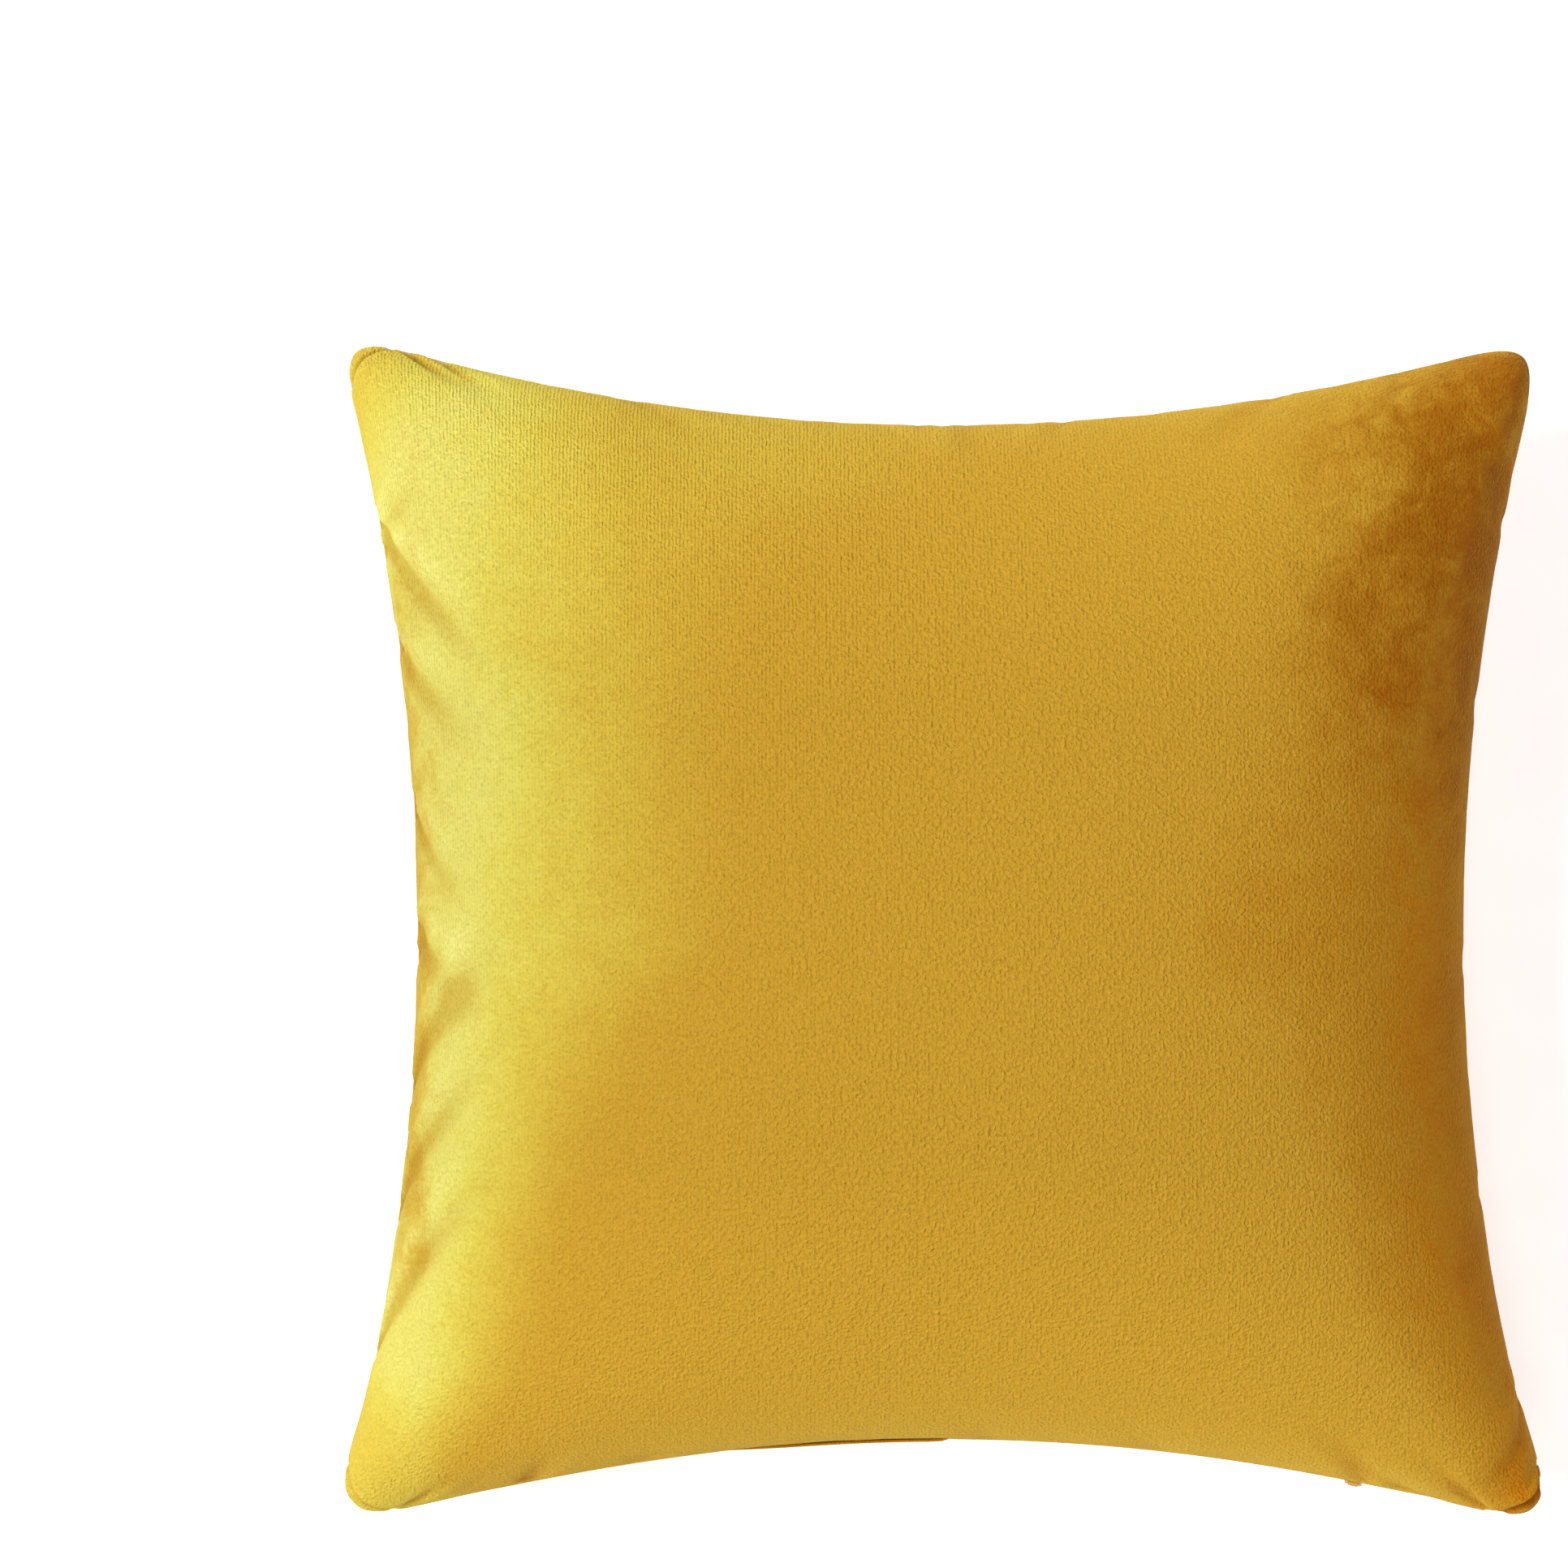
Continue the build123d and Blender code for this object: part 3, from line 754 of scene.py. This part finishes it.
class Nodes:
    """Short way to build a node material. Sockets and numbers are given alike."""

    def __init__(self, name):
        self.material = bpy.data.materials.new(name)
        self.material.use_nodes = True
        self.tree = self.material.node_tree
        self.shader = self.tree.nodes["Principled BSDF"]

    def add(self, kind, inputs=(), **settings):
        node = self.tree.nodes.new(kind)
        for key, value in settings.items():
            setattr(node, key, value)
        for key, value in dict(inputs).items():
            self.set(node.inputs[key], value)
        return node

    def set(self, socket, value):
        if isinstance(value, bpy.types.NodeSocket):
            self.tree.links.new(value, socket)
        else:
            socket.default_value = value

    def maths(self, operation, first, second=0.0, third=0.0):
        node = self.add("ShaderNodeMath", operation=operation)
        for socket, value in zip(node.inputs, (first, second, third)):
            self.set(socket, value)
        return node.outputs[0]

    def noise(self, vector, scale, detail=2.0, roughness=0.5, distortion=0.0):
        node = self.add("ShaderNodeTexNoise", {
            "Vector": vector, "Scale": scale, "Detail": detail,
            "Roughness": roughness, "Distortion": distortion,
        })
        return node.outputs["Fac"]

    def ramp(self, factor, *stops, blend="LINEAR"):
        node = self.add("ShaderNodeValToRGB", {"Fac": factor})
        node.color_ramp.interpolation = blend
        elements = node.color_ramp.elements
        while len(elements) < len(stops):
            elements.new(0.5)
        for element, (position, colour) in zip(elements, stops):
            element.position = position
            element.color = (*colour, 1)
        return node.outputs["Color"]

    def mix(self, factor, first, second, blend="MIX"):
        node = self.add("ShaderNodeMix", data_type="RGBA", blend_type=blend)
        self.set(node.inputs["Factor"], factor)
        for socket, value in ((node.inputs[6], first), (node.inputs[7], second)):
            if isinstance(value, tuple):
                value = (*value, 1)
            self.set(socket, value)
        return node.outputs[2]

    def fade(self, value, start, end):
        """Grey ramp between two (position, brightness) stops."""
        stops = [(position, (grey, grey, grey)) for position, grey in (start, end)]
        return self.ramp(value, *stops)

    def plus(self, first, second):
        return self.maths("ADD", first, second)

    def minus(self, first, second):
        return self.maths("SUBTRACT", first, second)

    def times(self, first, second):
        return self.maths("MULTIPLY", first, second)

    def tint(self, amount, colour, factors):
        """Multiplies a colour by factors, where amount is 1."""
        return self.mix(amount, colour, self.mix(1.0, colour, factors, "MULTIPLY"))

    def bump(self, height, distance, strength=1.0):
        inputs = {"Height": height, "Distance": distance, "Strength": strength}
        return self.add("ShaderNodeBump", inputs).outputs["Normal"]

    def finish(self, **values):
        for key, value in values.items():
            name = key.replace("_", " ").title().replace("Ior", "IOR")
            if isinstance(value, tuple) and len(value) == 3:
                value = (*value, 1)
            self.set(self.shader.inputs[name], value)
        return self.material


# The velvet's sizes in metres on the cut cloth, and its noises in cells per metre
RIB_PITCH = 1.38 * MM
RIB_WANDER = 1.2 * MM
WANDER_SCALE = 260.0
PEBBLE_SCALE = 720.0
FIBRE_SCALE = 2100.0
PATCH_SCALE = 15.0
SMUDGE_SCALE = 85.0
PILE_DEPTH = 1.3 * MM

# The painted shading is given as a length: in the middle rows, the distance from the middle of
# the cloth. On the left it is below 0 and is painted as a lemon highlight, and on the right it is
# painted as a deep amber shade, as if lit from the left.
FULL_SHADING = 0.2                # shading, and distance from the middle, where the painted highlight and shade are full
LOWER_LOSS = 9.0               # how much faster it falls off inwards, per metre down
UPPER_LOSS = 6.1               # and per metre up, on the right
UPPER_GAIN = 0.15              # what it gains per metre up, on the right
LEFT_GAIN = 0.009              # what it gains in the middle rows, on the left
BOTTOM_LOSS = 0.08             # what it loses towards the bottom edge
LARGEST_STIR = 0.24            # how much brushing can change it
UPPER_LEFT_SHADING = -0.118       # the painted highlight that the top edge has at least, on the left
TIP_SHADING = -0.14               # painted highlight at the tips of the left corners

# Painted light and shade of the velvet, from lemon highlight through gold to deep amber shade, by
# twice the shading, plus a half
PAINTED_LIGHT_COLOURS = (
    (0.045, (0.520, 0.315, 0.032)),
    (0.07, (0.590, 0.440, 0.066)),
    (0.094, (0.650, 0.592, 0.134)),
    (0.128, (0.645, 0.574, 0.119)),
    (0.16, (0.634, 0.550, 0.085)),
    (0.204, (0.610, 0.462, 0.057)),
    (0.246, (0.585, 0.410, 0.044)),
    (0.304, (0.530, 0.305, 0.027)),
    (0.36, (0.530, 0.295, 0.026)),
    (0.50, (0.530, 0.297, 0.026)),
    (0.66, (0.540, 0.297, 0.026)),
    (0.735, (0.500, 0.243, 0.0165)),
    (0.83, (0.475, 0.204, 0.0106)),
    (0.89, (0.520, 0.184, 0.004)),
    (0.95, (0.470, 0.142, 0.002)),
)
# Tints of painted light, in order: painted shade on the upper right, painted shade down in the
# puckers, a painted highlight on their ridges, painted shade along the seams, and a pale painted
# highlight along the top seam
UPPER_RIGHT_SHADE_TINT = (0.68, 0.50, 0.20)
FOLD_SHADE_TINT = (0.80, 0.62, 0.36)
RIDGE_HIGHLIGHT_TINT = (1.10, 1.18, 1.5)
SEAM_SHADE_TINT = (0.90, 0.62, 0.25)
TOP_SEAM_HIGHLIGHT = (0.80, 0.56, 0.24)


def shading_by_place(n, across, along, eastward):
    """Size of the painted shading by place alone. eastward is 1 right of the middle and 0 left of
    it. Away from the middle rows the shading falls off faster inwards, so less of the cloth is
    painted lighter or darker. A limit keeps the colours at the seam from running on."""
    from_middle = n.maths("ABSOLUTE", across)
    upper_half = n.maths("MAXIMUM", along, 0.0)
    upper_right = n.times(upper_half, eastward)
    below = n.times(n.maths("MINIMUM", along, 0.0), -LOWER_LOSS)
    narrower = n.plus(n.plus(below, n.times(upper_right, UPPER_LOSS)), 1.0)
    inset = n.minus(FULL_SHADING, from_middle)
    shading = n.minus(FULL_SHADING, n.times(inset, narrower))
    shading = n.plus(shading, n.times(upper_right, UPPER_GAIN))
    middle_rows = n.fade(n.maths("ABSOLUTE", along), (0.05, 1), (0.15, 0))
    off_seam = n.fade(from_middle, (0.175, 1), (0.212, 0))
    middle_left = n.times(middle_rows, n.minus(1.0, eastward))
    shading = n.plus(shading, n.times(n.times(middle_left, off_seam), LEFT_GAIN))
    right_limit = n.maths("MULTIPLY_ADD", eastward, 0.06, FULL_SHADING)
    limit = n.maths("MULTIPLY_ADD", middle_rows, 0.04, right_limit)
    shading = n.maths("MINIMUM", shading, limit)
    downwards = n.maths("MULTIPLY_ADD", eastward, 0.03, n.times(along, -1.0))
    lost = n.times(n.fade(downwards, (0.165, 0), (0.215, 1)), BOTTOM_LOSS)
    return n.maths("MAXIMUM", n.minus(shading, lost), 0.0)


def painted_shading(n, across, along, nap):
    """The painted shading with its brushed patches, below 0 a painted highlight and above 0 a
    painted shade, and what the top edge and the left tips change.
    """
    side = n.maths("SIGN", across)
    eastward = n.maths("MULTIPLY_ADD", side, 0.5, 0.5)
    size = shading_by_place(n, across, along, eastward)
    stir = n.maths("MINIMUM", n.times(size, 1.5), LARGEST_STIR)
    stir = n.times(stir, n.maths("MULTIPLY_ADD", side, 0.28, 0.72))
    brushed = n.times(n.minus(nap, 0.5), stir)
    shading = n.plus(n.times(size, side), brushed)
    top_edge = n.fade(along, (0.10, 0), (0.175, 1))
    westward = n.fade(n.plus(across, 0.5), (0.42, 1), (0.64, 0.2))
    lifted = n.maths("MINIMUM", shading, n.maths("MULTIPLY_ADD", brushed, 0.8, UPPER_LEFT_SHADING))
    shading = n.plus(shading, n.times(n.times(top_edge, westward), n.minus(lifted, shading)))
    to_corner = n.plus(n.maths("ABSOLUTE", across), n.maths("ABSOLUTE", along))
    tip = n.times(n.fade(to_corner, (0.385, 0), (0.435, 1)), n.minus(1.0, eastward))
    return n.plus(shading, n.times(tip, n.minus(TIP_SHADING, shading)))


def shade_upper_right(n, colour, across, along, nap):
    """Painted shade in darker streaks, towards the upper right."""
    rightwards = n.fade(across, (0.09, 0), (0.18, 1))
    upwards = n.fade(along, (0.0, 0.15), (0.12, 1))
    streaks = n.times(n.minus(nap, 0.5), 2.6)
    shaded = n.times(n.times(rightwards, upwards), n.plus(streaks, 0.75))
    shaded = n.ramp(shaded, (0.12, (0, 0, 0)), (0.95, (1, 1, 1)), blend="EASE")
    return n.tint(shaded, colour, UPPER_RIGHT_SHADE_TINT)


def painted_fold_shading(n, colour, smudges):
    """Painted shade down in the puckers, and a painted highlight on their ridges."""
    fold = n.add("ShaderNodeAttribute", attribute_name="fold_height").outputs["Fac"]
    fold = n.times(fold, 1 / MM)
    ragged = n.maths("MULTIPLY_ADD", n.minus(smudges, 0.5), 1.2, 1.0)
    sunk = n.fade(n.times(n.times(fold, -1.0), ragged), (0.12, 0), (1.0, 0.75))
    raised = n.fade(n.times(fold, ragged), (0.08, 0), (0.8, 0.8))
    return n.tint(raised, n.tint(sunk, colour, FOLD_SHADE_TINT), RIDGE_HIGHLIGHT_TINT)


def painted_light_at_seams(n, colour, across, along):
    """A pale painted highlight along the top seam, most on the left, and painted shade along the
    other three.
    """
    distance = n.add("ShaderNodeAttribute", attribute_name="seam_distance").outputs["Fac"]
    centimetres = n.times(distance, 0.1 / MM)
    rim = n.ramp(centimetres, (0.08, (1, 1, 1)), (0.7, (0, 0, 0)), blend="EASE")
    top_rows = n.fade(along, (0.17, 0), (0.2, 1))
    top_highlight = n.times(n.times(rim, top_rows), n.maths("MULTIPLY_ADD", across, -0.8, 0.4))
    seam_shade = n.times(n.times(rim, 0.75), n.minus(1.0, top_rows))
    colour = n.mix(top_highlight, colour, TOP_SEAM_HIGHLIGHT)
    return n.tint(seam_shade, colour, SEAM_SHADE_TINT)


def velvet_material():
    """Mustard velvet: sheared pile in fine ribs. Its colour holds painted light: a lemon painted
    highlight on the left of the cover and a deep amber painted shade on the right, with brushed
    patches where they change over, and more painted shade and highlights in the puckers and along
    the seams."""
    n = Nodes("mustard_velvet")
    cloth = n.add("ShaderNodeAttribute", attribute_name="cloth").outputs["Vector"]
    split = n.add("ShaderNodeSeparateXYZ", {"Vector": cloth})
    across, along = split.outputs["X"], split.outputs["Y"]
    wander = n.noise(cloth, WANDER_SCALE, 2.0)
    place = n.plus(across, n.times(wander, RIB_WANDER))
    ribs = n.maths("SINE", n.times(place, 2 * math.pi / RIB_PITCH))
    ribbed = n.fade(n.minus(along, across), (0.06, 0.25), (0.3, 1))
    rib_height = n.maths("MULTIPLY_ADD", n.times(ribs, ribbed), 0.5, 0.5)
    pebbles = n.noise(cloth, PEBBLE_SCALE, 2.0, 0.5, 0.4)
    fibres = n.noise(cloth, FIBRE_SCALE, 2.0, 0.6)
    patches = n.noise(cloth, PATCH_SCALE, 4.0, 0.6, 0.3)
    smudges = n.noise(cloth, SMUDGE_SCALE, 5.0, 0.7, 0.6)
    nap = n.plus(n.times(patches, 0.5), n.times(smudges, 0.5))
    # Painted light: a lemon highlight on the left of the cover and a deep amber shade on the
    # right, set by place on the cloth
    shading = painted_shading(n, across, along, nap)
    colour = n.ramp(n.maths("MULTIPLY_ADD", shading, 2.0, 0.5), *PAINTED_LIGHT_COLOURS, blend="B_SPLINE")
    grain = n.plus(n.times(pebbles, 0.8), n.times(rib_height, 0.2))
    tone = n.ramp(
        grain, (0.28, (0.86, 0.83, 0.74)), (0.52, (1.0, 1.0, 1.0)), (0.78, (1.10, 1.12, 1.2))
    )
    colour = n.mix(1.0, colour, tone, "MULTIPLY")
    # Painted light: the colour is darker across the middle rows and lighter towards the top and
    # bottom seams
    painted_light_top_bottom = n.fade(n.maths("ABSOLUTE", along), (0.08, 0.93), (0.21, 1.1))
    colour = n.mix(1.0, colour, painted_light_top_bottom, "MULTIPLY")
    # Painted shade on the upper right, in the puckers and along the seams, and painted highlights
    # on the pucker ridges and the top seam
    colour = shade_upper_right(n, colour, across, along, nap)
    colour = painted_fold_shading(n, colour, smudges)
    colour = painted_light_at_seams(n, colour, across, along)
    height = n.plus(n.times(rib_height, 0.2), pebbles)
    height = n.plus(height, n.times(fibres, 0.2))
    rough = n.maths("MULTIPLY_ADD", nap, -0.2, 0.95)
    return n.finish(
        base_color=colour, roughness=rough, normal=n.bump(height, PILE_DEPTH),
        specular_ior_level=0.04,
        sheen_weight=0.32, sheen_roughness=0.4, sheen_tint=(1.0, 0.82, 0.12),
    )


PLY_PITCH = 0.7 * MM
TAPE_PITCH = 0.9 * MM
LABEL_PITCH = 0.5 * MM
DIMPLE_PITCH = 2.4 * MM


def thread_material(name, dark, light):
    """Spun sewing thread: two plies twisted round each other."""
    n = Nodes(name)
    place = n.add("ShaderNodeTexCoord").outputs["Object"]
    split = n.add("ShaderNodeSeparateXYZ", {"Vector": place})
    slant = n.plus(split.outputs["X"], split.outputs["Y"])
    slant = n.plus(slant, n.times(split.outputs["Z"], 1.4))
    ply = n.maths("SINE", n.times(slant, 2 * math.pi / PLY_PITCH))
    ply = n.maths("MULTIPLY_ADD", ply, 0.5, 0.5)
    fuzz = n.noise(place, 1800.0, 3.0, 0.6)
    height = n.maths("MULTIPLY_ADD", fuzz, 0.5, ply)
    colour = n.ramp(n.times(height, 0.66), (0.1, dark), (0.9, light))
    return n.finish(
        base_color=colour, roughness=0.75, normal=n.bump(height, 0.1 * MM, 0.8),
        sheen_weight=0.3, sheen_roughness=0.5,
    )


def woven_material(name, dark, light, pitch, roughness):
    """Plain weave of fine yarns, running along and across a narrow strip."""
    n = Nodes(name)
    place = n.add("ShaderNodeTexCoord").outputs["Object"]
    split = n.add("ShaderNodeSeparateXYZ", {"Vector": place})
    rise = n.plus(split.outputs["Z"], split.outputs["Y"])
    warp = n.maths("SINE", n.times(split.outputs["X"], 2 * math.pi / pitch))
    weft = n.maths("SINE", n.times(rise, 2 * math.pi / pitch))
    weave = n.maths("MULTIPLY_ADD", n.times(warp, weft), 0.5, 0.5)
    slub = n.noise(place, 500.0, 3.0, 0.6)
    height = n.maths("MULTIPLY_ADD", slub, 0.6, weave)
    colour = n.ramp(n.times(height, 0.6), (0.15, dark), (0.85, light))
    return n.finish(
        base_color=colour, roughness=roughness, normal=n.bump(height, 0.12 * MM, 0.7),
        sheen_weight=0.15, sheen_roughness=0.5,
    )


def nylon_material():
    """Drawn nylon wire of the zip coils."""
    n = Nodes("mustard_nylon")
    place = n.add("ShaderNodeTexCoord").outputs["Object"]
    streak = n.noise(place, 420.0, 4.0, 0.6)
    colour = n.ramp(streak, (0.3, (0.42, 0.22, 0.030)), (0.7, (0.56, 0.33, 0.060)))
    rough = n.maths("MULTIPLY_ADD", streak, 0.25, 0.28)
    return n.finish(base_color=colour, roughness=rough, normal=n.bump(streak, 0.04 * MM, 0.5))


def stop_material():
    """Crimped metal of the zip's end stops, tumbled in the plating drum."""
    n = Nodes("crimped_metal")
    place = n.add("ShaderNodeTexCoord").outputs["Object"]
    wear = n.noise(place, 900.0, 4.0, 0.65)
    colour = n.ramp(wear, (0.3, (0.42, 0.40, 0.36)), (0.7, (0.70, 0.68, 0.62)))
    rough = n.maths("MULTIPLY_ADD", wear, 0.35, 0.22)
    return n.finish(
        base_color=colour, roughness=rough, normal=n.bump(wear, 0.05 * MM, 0.6), metallic=1.0
    )


def enamel_material():
    """Mustard enamel on cast zinc, slightly uneven as it comes from the dip."""
    n = Nodes("mustard_enamel")
    place = n.add("ShaderNodeTexCoord").outputs["Object"]
    ripple = n.noise(place, 600.0, 2.0, 0.5)
    cloudy = n.noise(place, 160.0, 3.0, 0.6)
    colour = n.ramp(cloudy, (0.3, (0.42, 0.205, 0.018)), (0.7, (0.52, 0.275, 0.030)))
    rough = n.maths("MULTIPLY_ADD", cloudy, 0.2, 0.28)
    return n.finish(
        base_color=colour, roughness=rough, normal=n.bump(ripple, 0.04 * MM, 0.5),
        coat_weight=0.3, coat_roughness=0.2,
    )


def casing_material():
    """Spun-bonded cloth: white fibres pressed together in a grid of small dimples."""
    n = Nodes("spunbond_cloth")
    cloth = n.add("ShaderNodeAttribute", attribute_name="cloth").outputs["Vector"]
    split = n.add("ShaderNodeSeparateXYZ", {"Vector": cloth})
    across = n.maths("SINE", n.times(split.outputs["X"], 2 * math.pi / DIMPLE_PITCH))
    along = n.maths("SINE", n.times(split.outputs["Y"], 2 * math.pi / DIMPLE_PITCH))
    dimples = n.maths("POWER", n.maths("ABSOLUTE", n.times(across, along)), 3.0)
    fibres = n.noise(cloth, 340.0, 5.0, 0.7, 1.2)
    height = n.minus(n.times(fibres, 0.6), dimples)
    colour = n.ramp(fibres, (0.3, (0.74, 0.74, 0.72)), (0.7, (0.90, 0.90, 0.88)))
    return n.finish(
        base_color=colour, roughness=0.85, normal=n.bump(height, 0.15 * MM, 0.6),
        sheen_weight=0.1, sheen_roughness=0.5,
    )


def filling_material():
    """Loose crimped polyester fibre."""
    n = Nodes("polyester_fibre")
    cloth = n.add("ShaderNodeAttribute", attribute_name="cloth").outputs["Vector"]
    tufts = n.noise(cloth, 60.0, 4.0, 0.6, 1.5)
    strands = n.noise(cloth, 420.0, 6.0, 0.75, 3.0)
    height = n.maths("MULTIPLY_ADD", strands, 0.4, tufts)
    colour = n.ramp(strands, (0.3, (0.78, 0.78, 0.77)), (0.7, (0.93, 0.93, 0.92)))
    return n.finish(
        base_color=colour, roughness=0.95, normal=n.bump(height, 0.8 * MM, 0.8),
        sheen_weight=0.4, sheen_roughness=0.6,
    )


def dress(piece, material):
    """Gives a piece of this script, or a node of the frame, its material."""
    if isinstance(piece, str):
        for slot in frame["nodes"][piece].material_slots:
            slot.material = material
    else:
        piece.data.materials.append(material)


MUSTARD_DARK, MUSTARD_LIGHT = (0.36, 0.175, 0.016), (0.60, 0.340, 0.045)
velvet = velvet_material()
mustard_thread = thread_material("mustard_thread", MUSTARD_DARK, MUSTARD_LIGHT)
white_thread = thread_material("white_thread", (0.66, 0.66, 0.64), (0.90, 0.90, 0.88))
tape_weave = woven_material("zip_tape_weave", MUSTARD_DARK, (0.52, 0.290, 0.040), TAPE_PITCH, 0.8)
label_satin = woven_material(
    "label_satin", (0.70, 0.68, 0.64), (0.88, 0.86, 0.82), LABEL_PITCH, 0.45
)
nylon = nylon_material()
enamel = enamel_material()
casing_cloth = casing_material()
stop_metal = stop_material()

dress(front_panel, velvet)
dress(back_panel, velvet)
dress(casing_front, casing_cloth)
dress(casing_back, casing_cloth)
dress(filling, filling_material())
dress(coil_front, nylon)
dress(coil_back, nylon)
for node in (
    "cover_seam_thread", "cover_overlock_thread", "zip_stitching_front",
    "zip_stitching_back", "zip_bar_tacks",
):
    dress(node, mustard_thread)
dress("insert_seam_thread", white_thread)
dress("cover_care_label", label_satin)
dress("zip_tape_front", tape_weave)
dress("zip_tape_back", tape_weave)
dress("zip_top_stops", stop_metal)
dress("zip_bottom_stop", stop_metal)
dress("zip_slider", enamel)
dress("zip_pull_tab", enamel)


# ---------------------------------------------------------------- stage

FLOOR_HALF_SIZE = 6.0
VIEW_WIDTH = 0.5885            # what the photo spans at the plane of the seam
VIEW_CENTRE = (-0.0594, 0.0551)
VIEW_DISTANCE = 2.6
SENSOR_WIDTH = 36              # millimetres


def floor():
    size = FLOOR_HALF_SIZE
    mesh = bpy.data.meshes.new("floor")
    corners = [(-size, -size, 0), (size, -size, 0), (size, size, 0), (-size, size, 0)]
    mesh.from_pydata(corners, [], [(0, 1, 2, 3)])
    ground = link("floor", mesh)
    n = Nodes("pale_floor")
    speck = n.noise(n.add("ShaderNodeTexCoord").outputs["Object"], 40.0, 3.0)
    colour = n.ramp(speck, (0.3, (0.90, 0.90, 0.90)), (0.7, (0.93, 0.93, 0.93)))
    n.finish(
        base_color=colour, roughness=0.9,
        emission_color=(1.0, 1.0, 1.0), emission_strength=0.5,
    )
    mesh.materials.append(n.material)


def area_light(name, place, size, power):
    """A white disk of light, aimed at the pillow. Size in metres, power in watts."""
    data = bpy.data.lights.new(name, "AREA")
    data.shape = "DISK"
    data.size = size
    data.energy = power
    lamp = bpy.data.objects.new(name, data)
    bpy.context.scene.collection.objects.link(lamp)
    lamp.location = place
    aim = Vector((0, 0, SEAM)) - Vector(place)
    lamp.rotation_euler = aim.to_track_quat("-Z", "Y").to_euler()


def camera():
    """Straight above the front face, through a long lens, the pillow low and right of centre."""
    data = bpy.data.cameras.new("camera")
    data.sensor_width = SENSOR_WIDTH
    data.lens = SENSOR_WIDTH * VIEW_DISTANCE / VIEW_WIDTH
    data.clip_end = 50
    eye = bpy.data.objects.new("camera", data)
    bpy.context.scene.collection.objects.link(eye)
    eye.location = (*VIEW_CENTRE, SEAM + VIEW_DISTANCE)
    bpy.context.scene.camera = eye


floor()
camera()
area_light("key", (-3.4, 0.7, 5.0), 2.4, 362)
area_light("top", (0.6, -1.8, 5.2), 3.0, 112)
area_light("rim", (-0.2, 3.0, 0.45), 0.8, 12)
world = bpy.data.worlds.new("world")
world.use_nodes = True
background = world.node_tree.nodes["Background"]
background.inputs["Color"].default_value = (1, 1, 1, 1)
background.inputs["Strength"].default_value = 0.16
bpy.context.scene.world = world
bpy.context.scene.view_settings.view_transform = "Standard"
